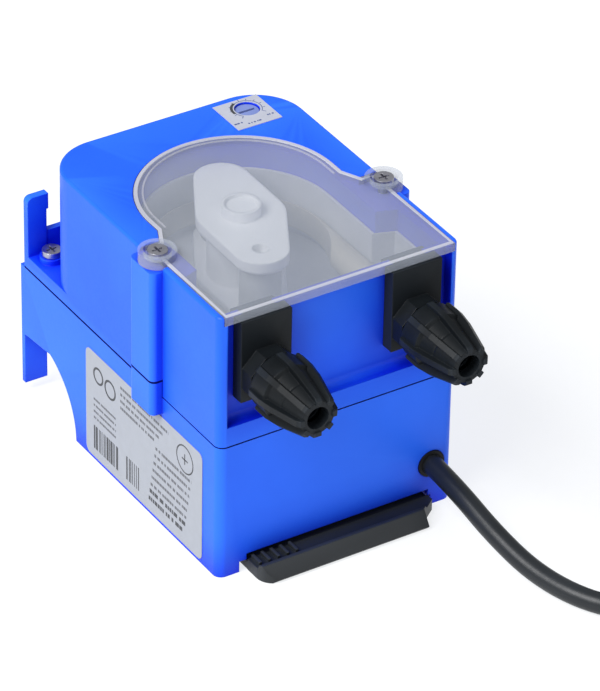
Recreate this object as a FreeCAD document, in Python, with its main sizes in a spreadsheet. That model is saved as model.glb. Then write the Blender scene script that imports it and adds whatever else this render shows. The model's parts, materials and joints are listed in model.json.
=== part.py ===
import FreeCAD, Part
import math
import os

import Sketcher
from FreeCAD import Placement, Rotation, Vector

# A wall-mounted peristaltic dosing pump lying on its back. X runs across the pump, Y from its
# lower face (hose ports and mains lead) to its hook end, Z from the wall side to the clear cover.
# The origin is on the wall plane, at the middle of the pump body.

DIMENSIONS = {
    # housing
    "body_width": 88,
    "body_near": 55.5,
    "body_far": 55.5,
    "body_height": 98,
    "parting": 49.5,
    "wall": 2.5,
    "seam": 0.15,
    "hook_end": 68.9,
    "far_corner": 17.5,
    "near_corner": 3,
    "edge_round": 1,
    # cover screw bosses on the two sides
    "boss_reach": 48,
    "boss_inner": 37.5,
    "boss_y": -14.5,
    "boss_half": 7,
    "boss_seam": 56,
    "boss_bottom": 43.5,
    "boss_top": 96.5,
    "cover_screw_x": 41.8,
    # pump chamber and clear cover
    "head_y": 3.8,
    "track_radius": 32,
    "liner_wall": 1,
    "liner_top": 87,
    "chamber_floor": 65,
    "chamber_side": 39,
    "cover_radius": 34.4,
    "cover_side": 42.2,
    "cover_thick": 3,
    "cover_gap": 0.15,
    "cup_radius": 6.2,
    # rotor and pump tube
    "orbit": 21.6,
    "roller_radius": 6.8,
    "roller_pin": 2,
    "pin_radius": 1.5,
    "fit_gap": 0.05,
    "tube_radius": 4.75,
    "tube_bore": 3.2,
    "sweep_radius": 28.8,
    # hose ports
    "port_x": 27.6,
    "port_z": 74.5,
    "port_bore": 2.2,
    # gear train
    "gear_module": 0.7,
    "pinion_teeth": 12,
    "idler_teeth": 40,
    "output_teeth": 44,
    "backlash": 0.16,
    "idler_x": 14,
    "idler_y": -9.9,
    "motor_x": -4,
    "motor_y": -12.6,
    "shaft_radius": 3,
    "motor_radius": 22,
    # adjuster
    "dial_x": 28.1,
    "dial_y": 46.1,
    "dial_radius": 4,
    # wall bracket and latch
    "recess_half": 36,
    "recess_depth": 4,
    # mains lead
    "lead_x": 35.8,
    "lead_z": 16.2,
    "lead_radius": 3.5,
    "coil_x": 117.6,
    "coil_y": -108,
    "coil_radius": 34.4,
    "coil_half": 7.2,
    "coil_layer": 7,
}

doc = FreeCAD.newDocument("dosing_pump")
sheet = doc.addObject("Spreadsheet::Sheet", "Sizes")
finished = []


class Size:
    """A length that carries both its number and the spreadsheet expression behind it."""

    def __init__(self, value, text):
        self.value = float(value)
        self.text = text

    def __add__(self, other):
        other = as_size(other)
        return Size(self.value + other.value, "(%s + %s)" % (self.text, other.text))

    def __sub__(self, other):
        other = as_size(other)
        return Size(self.value - other.value, "(%s - %s)" % (self.text, other.text))

    def __mul__(self, other):
        other = as_size(other)
        return Size(self.value * other.value, "(%s * %s)" % (self.text, other.text))

    def __truediv__(self, other):
        other = as_size(other)
        return Size(self.value / other.value, "(%s / %s)" % (self.text, other.text))

    def __radd__(self, other):
        return as_size(other) + self

    def __rsub__(self, other):
        return as_size(other) - self

    def __rmul__(self, other):
        return as_size(other) * self

    def __rtruediv__(self, other):
        return as_size(other) / self

    def __neg__(self):
        return Size(-self.value, "(0 - %s)" % self.text)

    def __float__(self):
        return self.value


def as_size(number):
    if isinstance(number, Size):
        return number
    return Size(number, "(%.6f)" % number)


class Dimensions:
    """The driving dimensions: one spreadsheet row each, read back as a Size by name."""

    def __init__(self, values):
        for row, (name, value) in enumerate(values.items(), start=1):
            sheet.set("A%d" % row, name)
            sheet.set("B%d" % row, str(value))
            sheet.setAlias("B%d" % row, name)
            setattr(self, name, Size(value, "Sizes." + name))


size = Dimensions(DIMENSIONS)
doc.recompute()


def bind(thing, path, value):
    thing.setExpression(path, as_size(value).text)


def finish(thing, label):
    """Marks a document object as a sub-part of the pump, under its own name."""
    thing.Label = label
    finished.append(thing)
    return thing


# Part primitives and booleans

def place(thing, x, y, z):
    for axis, value in zip("xyz", (x, y, z)):
        bind(thing, "Placement.Base." + axis, value)


def box(name, x, y, z):
    """A block given by its low and high limits along each axis."""
    solid = doc.addObject("Part::Box", name)
    for side, (low, high) in zip(("Length", "Width", "Height"), (x, y, z)):
        bind(solid, side, high - as_size(low))
    place(solid, x[0], y[0], z[0])
    return solid


TOWARDS = {
    "z": Rotation(),
    "x": Rotation(Vector(0, 1, 0), 90),
    "y": Rotation(Vector(1, 0, 0), -90),
}


def cylinder(name, radius, x, y, z):
    """A round bar; the one limit given as a pair is its length, and sets its direction."""
    solid = doc.addObject("Part::Cylinder", name)
    aim_round(solid, x, y, z)
    bind(solid, "Radius", radius)
    return solid


def cone(name, low_radius, high_radius, x, y, z):
    solid = doc.addObject("Part::Cone", name)
    aim_round(solid, x, y, z)
    bind(solid, "Radius1", low_radius)
    bind(solid, "Radius2", high_radius)
    return solid


def aim_round(solid, x, y, z):
    limits = {"x": x, "y": y, "z": z}
    along = next(axis for axis in "xyz" if isinstance(limits[axis], tuple))
    low, high = limits[along]
    limits[along] = low
    solid.Placement = Placement(Vector(), TOWARDS[along])
    bind(solid, "Height", high - as_size(low))
    place(solid, limits["x"], limits["y"], limits["z"])


def cut(name, base, *tools):
    """The base less every tool."""
    tool = tools[0] if len(tools) == 1 else fuse(name + "_tools", *tools)
    result = doc.addObject("Part::Cut", name)
    result.Base = base
    result.Tool = tool
    return result


def fuse(name, *solids):
    result = doc.addObject("Part::MultiFuse", name)
    result.Shapes = list(solids)
    return result


def group(name, *solids):
    """Separate solids that share one name, such as a set of identical screws."""
    result = doc.addObject("Part::Compound", name)
    result.Links = list(solids)
    return result


# PartDesign bodies

def new_body(name):
    return doc.addObject("PartDesign::Body", name)


def origin_feature(body, role):
    return next(item for item in body.Origin.OriginFeatures if item.Role == role)


def new_sketch(body, role="XY_Plane", height=0):
    """A sketch on one of the body's own origin planes, raised along that plane's normal."""
    sketch = body.newObject("Sketcher::SketchObject", body.Name + "_sketch")
    sketch.AttachmentSupport = (origin_feature(body, role), [""])
    sketch.MapMode = "FlatFace"
    bind(sketch, ".AttachmentOffset.Base.z", height)
    return sketch


def pin_point(sketch, geometry, end, x, y):
    for kind, value in (("DistanceX", x), ("DistanceY", y)):
        index = sketch.addConstraint(Sketcher.Constraint(kind, -1, 1, geometry, end, float(value)))
        bind(sketch, "Constraints[%d]" % index, value)


def outline(sketch, corners):
    """A closed outline. A corner (x, y) is reached by a line, and a corner (x, y, radius, middle)
    by an arc of that radius that passes near the point middle."""
    spots = [Vector(float(corner[0]), float(corner[1]), 0) for corner in corners]
    first = sketch.GeometryCount
    for index, spot in enumerate(spots):
        onward = (index + 1) % len(spots)
        ahead = corners[onward]
        if len(ahead) == 4:
            edge = Part.Arc(spot, Vector(float(ahead[3][0]), float(ahead[3][1]), 0), spots[onward])
        else:
            edge = Part.LineSegment(spot, spots[onward])
        sketch.addGeometry(edge)
    for index, corner in enumerate(corners):
        onward = (index + 1) % len(spots)
        here_end = arc_ends(sketch, first + index, spots[onward])
        there_start = arc_ends(sketch, first + onward, spots[onward])
        sketch.addConstraint(Sketcher.Constraint(
            "Coincident", first + index, here_end, first + onward, there_start))
        pin_point(sketch, first + onward, there_start, corners[onward][0], corners[onward][1])
        ahead = corners[onward]
        if len(ahead) == 4:
            hold_arc(sketch, first + index, ahead, spots[index].distanceToPoint(spots[onward]))


def hold_arc(sketch, geometry, corner, chord):
    """Holds an arc's radius, or its centre's height where it is a half circle on a level chord."""
    radius = corner[2]
    if abs(chord - 2 * float(radius)) < 0.001:
        kind = ("DistanceY", -1, 1, geometry, 3, float(corner[1]))
        value = corner[1]
    else:
        kind = ("Radius", geometry, float(radius))
        value = radius
    bind(sketch, "Constraints[%d]" % sketch.addConstraint(Sketcher.Constraint(*kind)), value)


def arc_ends(sketch, geometry, spot):
    """Which end of an edge, 1 or 2, lies at the spot; an arc may run either way."""
    distances = {end: sketch.getPoint(geometry, end).distanceToPoint(spot) for end in (1, 2)}
    return min(distances, key=distances.get)


def rectangle(sketch, x, y):
    outline(sketch, [(x[0], y[0]), (x[1], y[0]), (x[1], y[1]), (x[0], y[1])])


def circle(sketch, x, y, radius):
    index = sketch.addGeometry(Part.Circle(Vector(float(x), float(y), 0), Vector(0, 0, 1), float(radius)))
    pin_point(sketch, index, 3, x, y)
    rule = Sketcher.Constraint("Radius", index, float(radius))
    bind(sketch, "Constraints[%d]" % sketch.addConstraint(rule), radius)


def extrude(body, kind, sketch, length, backward=False, symmetric=False):
    feature = body.newObject("PartDesign::" + kind, body.Name + "_" + kind.lower())
    feature.Profile = sketch
    bind(feature, "Length", length)
    feature.Reversed = backward
    if symmetric:
        feature.SideType = "Symmetric"
    sketch.Visibility = False
    before = solid_volume(body)
    doc.recompute()
    body.Tip = feature
    doc.recompute()
    grew = feature.Shape.Volume - before
    if (kind == "Pad") != (grew > 0) or abs(grew) < 0.01:
        raise RuntimeError("%s of %s changed the volume by %.3f" % (kind, body.Name, grew))
    return feature


def solid_volume(body):
    return body.Shape.Volume if not body.Shape.isNull() else 0.0


def pad(body, sketch, length, **how):
    return extrude(body, "Pad", sketch, length, **how)


def pocket(body, sketch, length, **how):
    return extrude(body, "Pocket", sketch, length, **how)


def revolve(body, sketch, kind="Revolution"):
    """Turns a profile about its sketch's vertical axis."""
    feature = body.newObject("PartDesign::" + kind, body.Name + "_turned")
    feature.Profile = sketch
    feature.ReferenceAxis = (sketch, ["V_Axis"])
    feature.Angle = 360
    body.Tip = feature
    doc.recompute()
    return feature


def round_edges(body, radius, test):
    """Rounds every edge of the body's last feature whose two ends pass the test."""
    last = body.Tip
    names = []
    for number, edge in enumerate(last.Shape.Edges, start=1):
        ends = [vertex.Point for vertex in edge.Vertexes]
        if len(ends) == 2 and test(ends[0], ends[1]):
            names.append("Edge%d" % number)
    if not names:
        raise RuntimeError("no edge to round on " + body.Name)
    feature = body.newObject("PartDesign::Fillet", body.Name + "_round")
    feature.Base = (last, names)
    bind(feature, "Radius", radius)
    body.Tip = feature
    doc.recompute()
    return feature


def upright(x, y, low=-1000.0, high=1000.0):
    """A test for edges along Z at |x|, y whose middle is between two heights."""
    def test(a, b):
        return (abs(a.x - b.x) + abs(a.y - b.y) < 0.01
                and abs(abs(a.x) - float(x)) < 0.01
                and abs(a.y - float(y)) < 0.01
                and low < (a.z + b.z) / 2 < high)
    return test


def both_sides(make):
    """Runs a step for the left and for the right side."""
    return [make(side) for side in (-1, 1)]


# Housing

HALF = size.body_width / 2
NEAR = -size.body_near
FAR = size.body_far
INSIDE = HALF - size.wall


def side_limits(side, inner, outer):
    """Limits along X for a feature between inner and outer on one side of the pump."""
    return (inner, outer) if side > 0 else (-outer, -inner)


def boss_y_limits():
    return size.boss_y - size.boss_half, size.boss_y + size.boss_half


def rear_shell():
    """The wall-side shell: a deep tray whose far end arches over to a hooked arm."""
    body = new_body("rear_shell")
    shape = new_sketch(body, "YZ_Plane")
    outline(shape, [
        (NEAR, 0), (33.5, 0), (50.3, 24.3, 27, (38.9, 14.5)), (size.hook_end, 22.5),
        (size.hook_end, size.parting), (NEAR, size.parting)])
    pad(body, shape, size.body_width, symmetric=True)
    round_edges(body, size.near_corner, upright(HALF, NEAR))
    hollow = new_sketch(body, "YZ_Plane")
    outline(hollow, [
        (NEAR + size.wall, size.parting + 1), (NEAR + size.wall, 6.5), (29.5, 6.5), (35.2, 17.2),
        (47.5, 27), (66.4, 27), (66.4, size.parting + 1)])
    pocket(body, hollow, size.body_width - 2 * size.wall, symmetric=True)
    for side in (-1, 1):
        tab = new_sketch(body, height=3.4)
        rectangle(tab, side_limits(side, 35.7, HALF), (66.9, size.hook_end))
        pad(body, tab, 21)
        boss = new_sketch(body, height=size.boss_bottom)
        rectangle(boss, side_limits(side, HALF - 1, size.boss_reach), boss_y_limits())
        pad(body, boss, size.boss_seam - size.boss_bottom)
        column = new_sketch(body, height=30)
        rectangle(column, side_limits(side, size.boss_inner, INSIDE + 1), boss_y_limits())
        pad(body, column, size.parting - 30)
        ear_post = new_sketch(body, height=26)
        circle(ear_post, side * 38, 58.9, 4)
        pad(body, ear_post, size.parting - 26)
    for y in boss_y_limits():
        round_edges(body, 2, upright(size.boss_reach, y))
    # the front shell's wall stands where the raised boss begins
    clearance = new_sketch(body, height=size.parting)
    rectangle(clearance, (-HALF - size.seam, HALF + size.seam), (-30, 0))
    pocket(body, clearance, 10, backward=True)
    recess = new_sketch(body)
    rectangle(recess, (-size.recess_half, size.recess_half), (NEAR - 1, 31))
    pocket(body, recess, size.recess_depth, backward=True)
    mouth = new_sketch(body, "XZ_Plane", size.body_near + 1)
    rectangle(mouth, (-33.4, 35), (-1, 6.2))
    pocket(body, mouth, 1.2 + size.wall)
    holes = new_sketch(body, height=size.boss_seam + 1)
    both_sides(lambda side: circle(holes, side * size.cover_screw_x, size.boss_y, 1.75))
    pocket(body, holes, 14)
    pilots = new_sketch(body, height=size.parting)
    both_sides(lambda side: circle(pilots, side * 38, 58.9, 1.55))
    pocket(body, pilots, 10)
    outlet = new_sketch(body, "XZ_Plane", size.body_near + 1)
    circle(outlet, size.lead_x, size.lead_z, 4.9)
    pocket(body, outlet, 2 + size.wall)
    return finish(body, "rear_shell")


def front_shell():
    """The front shell: electronics space below, pump chamber sunk from above."""
    body = new_body("front_shell")
    bottom = size.parting + size.seam
    flange = new_sketch(body, height=bottom)
    rectangle(flange, (-HALF, HALF), (NEAR, 66.5))
    pad(body, flange, 54.5 - bottom)
    block = new_sketch(body, height=bottom)
    rectangle(block, (-HALF, HALF), (NEAR, FAR))
    pad(body, block, size.body_height - bottom)
    underside = new_sketch(body, height=bottom)
    rectangle(underside, (-INSIDE, INSIDE), (-49, FAR - size.wall))
    pocket(body, underside, size.chamber_floor - size.wall - bottom, backward=True)
    around = new_sketch(body, height=bottom)
    shell_radius = size.track_radius + size.liner_wall + size.wall
    outline(around, [
        (-INSIDE, size.head_y), (-INSIDE, FAR - size.wall), (INSIDE, FAR - size.wall),
        (INSIDE, size.head_y), (shell_radius, size.head_y),
        (-shell_radius, size.head_y, shell_radius, (0, size.head_y + shell_radius))])
    pocket(body, around, size.body_height - size.wall - bottom, backward=True)
    round_edges(body, size.far_corner - size.wall, upright(INSIDE, FAR - size.wall))
    round_edges(body, size.far_corner, upright(HALF, FAR))
    round_edges(body, size.near_corner, upright(HALF, NEAR))
    top = float(size.body_height)
    round_edges(body, size.edge_round, lambda a, b: min(a.z, b.z) > top - 0.01 and on_rim(a) and on_rim(b))
    chamber = new_sketch(body, height=size.body_height)
    outline(chamber, chamber_outline(size.liner_wall, -49))
    pocket(body, chamber, size.body_height - size.chamber_floor)
    for side in (-1, 1):
        boss = new_sketch(body, height=size.boss_seam + size.seam)
        rectangle(boss, side_limits(side, HALF - 1, size.boss_reach), boss_y_limits())
        pad(body, boss, size.boss_top - size.boss_seam - size.seam)
        column = new_sketch(body, height=bottom)
        rectangle(column, side_limits(side, size.boss_inner, INSIDE + 1), boss_y_limits())
        pad(body, column, size.boss_top - 1 - bottom)
    for y in boss_y_limits():
        round_edges(body, 2, upright(size.boss_reach, y))
    seat = new_sketch(body, height=size.body_height + 1)
    outline(seat, cover_outline(NEAR - 1, 0))
    pocket(body, seat, size.cover_thick + 1)
    cup_seats = new_sketch(body, height=size.body_height + 1)
    both_sides(lambda side: rectangle(cup_seats, side_limits(side, 41, 49), boss_y_limits()))
    pocket(body, cup_seats, size.body_height + 1 - size.boss_top)
    hole = new_sketch(body, height=size.body_height)
    both_sides(lambda side: circle(hole, side * size.cover_screw_x, size.boss_y, 1.75))
    pocket(body, hole, size.body_height - bottom + 1)
    recess = new_sketch(body, "XZ_Plane", size.body_near + 1)
    rectangle(recess, (-41, 41), (56.8, size.body_height - size.cover_thick + 1))
    pocket(body, recess, 5)
    round_edges(body, 2.5, recess_corner)
    slots = new_sketch(body, "XZ_Plane", size.body_near + 1)
    for side in (-1, 1):
        rectangle(slots, side_limits(side, size.port_x - 6.2, size.port_x + 6.2), (68.4, 96))
    pocket(body, slots, 9)
    far_ears(body)
    dial = new_sketch(body, height=size.body_height + 1)
    circle(dial, size.dial_x, size.dial_y, size.dial_radius + 0.2)
    pocket(body, dial, size.wall + 3)
    shaft = new_sketch(body, height=size.chamber_floor)
    circle(shaft, 0, size.head_y, 6)
    pocket(body, shaft, size.wall + 1)
    fixings = new_sketch(body, height=size.chamber_floor)
    for x, y in GEARBOX_SCREWS:
        circle(fixings, x, y, 1.6)
    pocket(body, fixings, size.wall + 1)
    heads = new_sketch(body, height=size.chamber_floor)
    for x, y in GEARBOX_SCREWS:
        circle(heads, x, y, 3)
    pocket(body, heads, 1.4)
    return finish(body, "front_shell")


GEARBOX_SCREWS = ((-18, -18), (18, -24), (0, 23))


def on_rim(point):
    """Whether a point lies on the outer rim of the front shell's top."""
    return (abs(point.x) > float(HALF) - 0.01 or abs(point.y) > float(FAR) - 0.01)


def recess_corner(a, b):
    """The long inner corner at the bottom of the near wall's recess."""
    return (abs(a.z - 56.8) < 0.01 and abs(b.z - 56.8) < 0.01
            and abs(a.y + 51.5) < 0.01 and abs(b.y + 51.5) < 0.01)


def half_mirrored(right, radius):
    """An outline with mirrored sides, closed at the far end by the pump head's half circle."""
    left = [(-x, y) for x, y in reversed(right)]
    arch = (left[0][0], left[0][1], radius, (0, size.head_y + radius))
    return right + [arch] + left[1:]


def chamber_outline(grow, near):
    """The pump chamber's outline, grown from the roller track, open towards the hose ports."""
    side = size.chamber_side + grow
    radius = size.track_radius + grow
    return half_mirrored([(side, near), (side, -26), (radius, -23.5), (radius, size.head_y)], radius)


def head_liner():
    """The grey liner of the pump chamber: its floor, and the track that backs the tube."""
    body = new_body("head_liner")
    low = size.chamber_floor + 0.05
    outer = new_sketch(body, height=low)
    outline(outer, chamber_outline(size.liner_wall - 0.1, -48.9))
    pad(body, outer, size.liner_top - low)
    inner = new_sketch(body, height=size.liner_top + 1)
    outline(inner, chamber_outline(0, -52))
    pocket(body, inner, size.liner_top - size.chamber_floor)
    shaft = new_sketch(body, height=size.chamber_floor + 2)
    circle(shaft, 0, size.head_y, 6)
    pocket(body, shaft, 3)
    return finish(body, "head_liner")


def cover_outline(near, gap):
    """The clear cover's outline from its near edge on, drawn in by a gap: arch, waist and near part."""
    shoulder = boss_y_limits()[1] - gap
    side = size.cover_side - gap
    radius = size.cover_radius - gap
    return half_mirrored([
        (side, near), (side, shoulder), (37, shoulder), (radius, -2), (radius, size.head_y)], radius)


def far_ears(body):
    """Hook posts, the cross wall between them and the screw pads beyond the far wall."""
    back = new_sketch(body, height=54)
    rectangle(back, (-36.8, 36.8), (64.2, 66.5))
    pad(body, back, 8.5)
    for side in (-1, 1):
        post = new_sketch(body, height=54)
        rectangle(post, side_limits(side, 37, HALF), (63.8, 66.5))
        pad(body, post, 22.8)
        barb = new_sketch(body, height=71)
        rectangle(barb, side_limits(side, 36.3, HALF), (63.8, 66.5))
        pad(body, barb, 5.8)
        screw_pad = new_sketch(body, height=54)
        circle(screw_pad, side * 38, 58.9, 4)
        pad(body, screw_pad, 2.4)
    holes = new_sketch(body, height=57)
    both_sides(lambda side: circle(holes, side * 38, 58.9, 1.75))
    pocket(body, holes, 8)

    def post_corner(a, b):
        return (abs(a.x - b.x) + abs(a.z - b.z) < 0.01
                and abs(abs(a.x) - float(HALF)) < 0.01
                and abs(a.z - 76.8) < 0.01)
    round_edges(body, 2, post_corner)


def clear_cover():
    """The clear cover: a plate in the shell's seat, with a screw cup on each side boss."""
    body = new_body("clear_cover")
    low = size.body_height - size.cover_thick + 0.05
    plate = new_sketch(body, height=low)
    outline(plate, cover_outline(NEAR, size.cover_gap))
    pad(body, plate, size.body_height - low)
    for side in (-1, 1):
        cup = new_sketch(body, height=size.boss_top + 0.05)
        circle(cup, side * size.cover_screw_x, size.boss_y, size.cup_radius)
        pad(body, cup, 4)
    for side in (-1, 1):
        well = new_sketch(body, height=101)
        circle(well, side * size.cover_screw_x, size.boss_y, 4.5)
        pocket(body, well, 2.6)
    hole = new_sketch(body, height=101)
    both_sides(lambda side: circle(hole, side * size.cover_screw_x, size.boss_y, 1.75))
    pocket(body, hole, 8)
    return finish(body, "clear_cover")


def screw(name, x, y, top, tip, head_radius=3.25, head_height=2, shank_radius=1.65):
    """A cross-head screw along Z: rounded head, shank and a cross recess."""
    head = cylinder(name + "_head", head_radius, x, y, (top - head_height, top))
    shank = cylinder(name + "_shank", shank_radius, x, y, (tip, top - head_height + 0.2))
    slots = [
        box(name + "_slot_a", (x - 1.9, x + 1.9), (y - 0.4, y + 0.4), (top - 1.1, top + 1)),
        box(name + "_slot_b", (x - 0.4, x + 0.4), (y - 1.9, y + 1.9), (top - 1.1, top + 1)),
    ]
    return cut(name, fuse(name + "_blank", head, shank), *slots)


def screws():
    """The two long cover screws, the ear screws and the gearbox screws."""
    cover = both_sides(lambda side: screw(
        "cover_screw_%d" % (side + 2), side * size.cover_screw_x, size.boss_y, 100.45, 45))
    finish(group("cover_screws", *cover), "cover_screws")
    ear = both_sides(lambda side: screw(
        "ear_screw_%d" % (side + 2), as_size(side * 38), as_size(58.9), 58.6, 41, shank_radius=1.5))
    finish(group("housing_screws", *ear), "housing_screws")
    gearbox = [
        screw("gearbox_screw_%d" % number, as_size(x), as_size(y), 64.9, 58.5,
              head_radius=2.8, head_height=1.25, shank_radius=1.45)
        for number, (x, y) in enumerate(GEARBOX_SCREWS)]
    finish(group("gearbox_screws", *gearbox), "gearbox_screws")


# Pump head

ROLLERS = (0, 1)
NEAR_ROLLER = 1
ROTOR_ANGLE = 75
LOBE_RADIUS = 9.2
WAIST_RADIUS = 14.5


def orbit_point(number):
    angle = math.radians(ROTOR_ANGLE + 180 * number)
    return size.orbit * math.cos(angle), size.head_y + size.orbit * math.sin(angle)


def lobed_plate(name, low, high):
    """A rotor plate: a round waist drawn out to a lobe at each roller by straight tangent sides."""
    body = new_body(name)
    sketch = new_sketch(body)
    lean = (WAIST_RADIUS - LOBE_RADIUS) / size.orbit
    level = Size(math.sqrt(1 - float(lean) ** 2), "sqrt(1 - %s * %s)" % (lean.text, lean.text))
    waist = (WAIST_RADIUS * lean, WAIST_RADIUS * level)
    lobe = (size.orbit + LOBE_RADIUS * lean, LOBE_RADIUS * level)
    tip = size.orbit + LOBE_RADIUS
    outline(sketch, [
        (waist[0], -waist[1], WAIST_RADIUS, (0, -WAIST_RADIUS)), (lobe[0], -lobe[1]),
        (lobe[0], lobe[1], LOBE_RADIUS, (tip, 0)), waist,
        (-waist[0], waist[1], WAIST_RADIUS, (0, WAIST_RADIUS)), (-lobe[0], lobe[1]),
        (-lobe[0], -lobe[1], LOBE_RADIUS, (-tip, 0)), (-waist[0], -waist[1])])
    pad(body, sketch, high - as_size(low))
    body.Placement = Placement(Vector(), Rotation(Vector(0, 0, 1), ROTOR_ANGLE))
    place(body, 0, size.head_y, low)
    return body


def rotor():
    """Roller carrier, its cap, the roller pins and the output shaft that drives them."""
    bore = cylinder("carrier_bore", size.shaft_radius, 0, size.head_y, (60, 92))
    core = cylinder("carrier_core", 11, 0, size.head_y, (68, 86.4))
    lower = lobed_plate("carrier_plate", 66.4, 68.6)
    pins = [
        cylinder("pin_hole_%d" % number, size.roller_pin, *orbit_point(number), (60, 92))
        for number in ROLLERS]
    finish(cut("rotor_carrier", fuse("carrier_blank", lower, core), bore, *pins), "rotor_carrier")
    upper = lobed_plate("cap_plate", 86.4, 90.4)
    ring = cut("cap_ring", cylinder("cap_boss", 6.5, 0, size.head_y, (90, 93.9)),
               cylinder("cap_dish", 5.3, 0, size.head_y, (92.9, 95)))
    cap_bore = cylinder("cap_bore", size.shaft_radius, 0, size.head_y, (80, 91.2))
    cap_pins = [
        cylinder("cap_pin_hole_%d" % number, size.roller_pin, *orbit_point(number), (80, 87.8))
        for number in ROLLERS]
    well = cylinder("cap_well", 2.6, *orbit_point(NEAR_ROLLER), (87.6, 92))
    finish(cut("rotor_cap", fuse("cap_blank", upper, ring), cap_bore, *cap_pins, well), "rotor_cap")
    made = [
        cylinder("roller_pin_%d" % number, size.roller_pin, *orbit_point(number), (66.4, 87.6))
        for number in ROLLERS]
    finish(group("roller_pins", *made), "roller_pins")
    shaft = cylinder("shaft_bar", size.shaft_radius, 0, size.head_y, (40.6, 91.2))
    finish(shaft, "output_shaft")


def rollers():
    for number in ROLLERS:
        x, y = orbit_point(number)
        wheel = cylinder("roller_wheel_%d" % number, size.roller_radius, x, y, (69, 86))
        bore = cylinder("roller_bore_%d" % number, size.roller_pin + size.fit_gap, x, y, (60, 90))
        finish(cut("roller_%d" % (number + 1), wheel, bore), "roller_%d" % (number + 1))


def pump_tube():
    """The soft tube: in at one port, round the track and out at the other, pressed flat where
    the rollers sweep, and bored at both ends where it is pushed on the ports."""
    leg_end = -46.9
    centre = size.track_radius - size.tube_radius
    legs = both_sides(lambda side: cylinder(
        "tube_leg_%d" % (side + 2), size.tube_radius - 0.1, side * centre, (leg_end, size.head_y),
        size.port_z))
    arch = doc.addObject("Part::Torus", "tube_arch")
    bind(arch, "Radius1", centre)
    bind(arch, "Radius2", size.tube_radius - 0.1)
    arch.Angle3 = 180
    place(arch, 0, size.head_y, size.port_z)
    sweep = cylinder("roller_sweep", size.sweep_radius, 0, size.head_y, (60, 90))
    bores = both_sides(lambda side: cylinder(
        "tube_bore_%d" % (side + 2), size.tube_bore, side * size.port_x, (leg_end - 1, -30), size.port_z))
    finish(cut("pump_tube", fuse("tube_run", arch, *legs), sweep, *bores), "pump_tube")


# Hose ports

def fitting(side, name):
    """A slide-in port: square flange, collar, threaded spigot with a hose barb, inner neck."""
    x = side * size.port_x
    flange = box(name + "_flange", (x - 9.1, x + 9.1), (-56.4, -51.6), (65.4, 94.8))
    neck = box(name + "_neck", (x - 6, x + 6), (-51.8, -48.8), (68.6, 94.6))
    lip = box(name + "_lip", (x - 7.6, x + 7.6), (-48.9, -47), (66.6, 94.6))
    collar = doc.addObject("Part::Prism", name + "_collar")
    collar.Polygon = 8
    bind(collar, "Circumradius", 9.6)
    bind(collar, "Height", 6)
    collar.Placement = Placement(Vector(), Rotation(Vector(1, 0, 0), 90) * Rotation(Vector(0, 0, 1), 22.5))
    place(collar, x, -56, size.port_z)
    spigot = cylinder(name + "_spigot", 7.1, x, (-75, -56), size.port_z)
    barb = cone(name + "_barb", 2.5, 3.1, x, (-79.5, -75), size.port_z)
    nipple = cylinder(name + "_nipple", size.tube_bore - 0.05, x, (-47.2, -36), size.port_z)
    bore = cylinder(name + "_bore", size.port_bore, x, (-90, -30), size.port_z)
    blank = fuse(name + "_blank", flange, neck, lip, collar, spigot, barb, nipple)
    finish(cut(name, blank, bore), name)


NUT_START = -62.4
NUT_END = -87


def nut(side, name):
    """A ribbed compression nut that tapers towards the hose, eight grips along it."""
    body = new_body(name)
    # drawn about the vertical axis, then laid along -Y by the body's placement
    profile = new_sketch(body, "XZ_Plane")
    length = NUT_START - NUT_END
    outline(profile, [
        (7.5, 0), (9.4, 0), (9.9, 0.8), (9.8, 8), (8.7, 9), (5.8, length - 0.6), (3.9, length - 0.6),
        (3.9, length - 5),
        (4.4, length - 5), (7.5, length - 9.6)])
    revolve(body, profile)
    ridge = new_sketch(body, "XZ_Plane")
    outline(ridge, [
        (8.4, 0.8), (10.6, 0.8), (11, 1.6), (11, 7), (10.2, 12.5), (7.4, length - 1.2), (6.5, length),
        (5, length), (8, 8)])
    feature = pad(body, ridge, 2.1, symmetric=True)
    pattern = body.newObject("PartDesign::PolarPattern", name + "_ribs")
    pattern.Originals = [feature]
    pattern.Axis = (origin_feature(body, "Z_Axis"), [""])
    pattern.Angle = 360
    pattern.Occurrences = 8
    body.Tip = pattern
    doc.recompute()
    body.Placement = Placement(Vector(), Rotation(Vector(1, 0, 0), 90))
    place(body, side * size.port_x, NUT_START, size.port_z)
    finish(body, name)


def collet(side, name):
    """The split clamping ring between the nut's cone and the hose barb."""
    x = side * size.port_x
    ring = cone(name + "_ring", 4.6, 6.9, x, (-80.2, -76), size.port_z)
    bore = cylinder(name + "_bore", 3.9, x, (-90, -70), size.port_z)
    slit = box(name + "_slit", (x - 0.5, x + 0.5), (-90, -77), (size.port_z, size.port_z + 10))
    finish(cut(name, ring, bore, slit), name)


# Gear train and motor

def involute_gear(teeth, phase):
    """The outline of an involute gear as a wire, one tooth centred on the phase angle."""
    module = float(size.gear_module)
    pitch = module * teeth / 2
    base = pitch * math.cos(math.radians(20))
    tip = pitch + module
    root = pitch - 1.25 * module

    def spread(radius):
        """Half the tooth's angle at a radius."""
        def involute(r):
            angle = math.acos(min(1.0, base / r))
            return math.tan(angle) - angle
        half = math.pi / (2 * teeth) - float(size.backlash) / (2 * pitch)
        return half + involute(pitch) - involute(max(radius, base))

    radii = [max(base, root) + (tip - max(base, root)) * step / 5 for step in range(6)]
    flank = [(root, spread(base))] + [(radius, spread(radius)) for radius in radii if radius > root + 0.001]
    points = []
    for tooth in range(teeth):
        centre = phase + 2 * math.pi * tooth / teeth
        for sign, order in ((-1, flank), (1, flank[::-1])):
            for radius, angle in order:
                turn = centre + sign * angle
                points.append(Vector(radius * math.cos(turn), radius * math.sin(turn), 0))
    return Part.makePolygon(points + [points[0]])


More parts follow.
